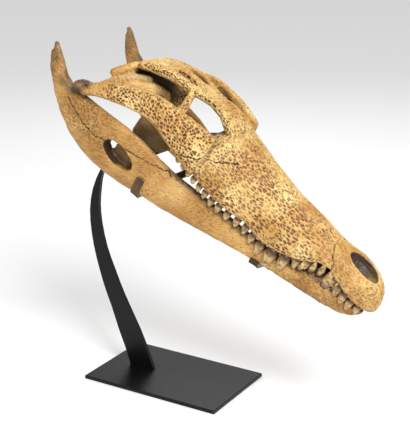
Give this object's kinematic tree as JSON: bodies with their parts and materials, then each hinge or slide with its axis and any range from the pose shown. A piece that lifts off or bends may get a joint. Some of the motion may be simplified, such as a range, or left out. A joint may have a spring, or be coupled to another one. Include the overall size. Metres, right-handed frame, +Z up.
{
  "type": "crocodile_skull_on_stand",
  "caption": "Cleaned crocodile skull with its lower jaw, nose down on a bent black steel bar and a rectangular plate",
  "frame": {"origin": "centre of the stand plate's underside, on the surface it rests on", "axes": "+X toward the snout along the plate's long side, +Y to the animal's left, +Z up"},
  "size_m": [0.4181, 0.1874, 0.451],
  "materials": {
    "bone": "matte",
    "stand_steel": "satin",
    "stand_clips": "satin"
  },
  "bodies": {
    "root": {"snout": "bone", "skull_roof": "bone", "palate": "bone", "jaw_joint_left": "bone", "jaw_joint_right": "bone", "cheek_left": "bone", "cheek_right": "bone", "lower_jaw_left": "bone", "lower_jaw_right": "bone", "stand_base": "stand_steel", "stand_bar": "stand_steel", "stand_clip_rear_left": "stand_clips", "stand_clip_rear_right": "stand_clips", "stand_clip_front_left": "stand_clips", "stand_clip_front_right": "stand_clips"}
  },
  "joints": []
}
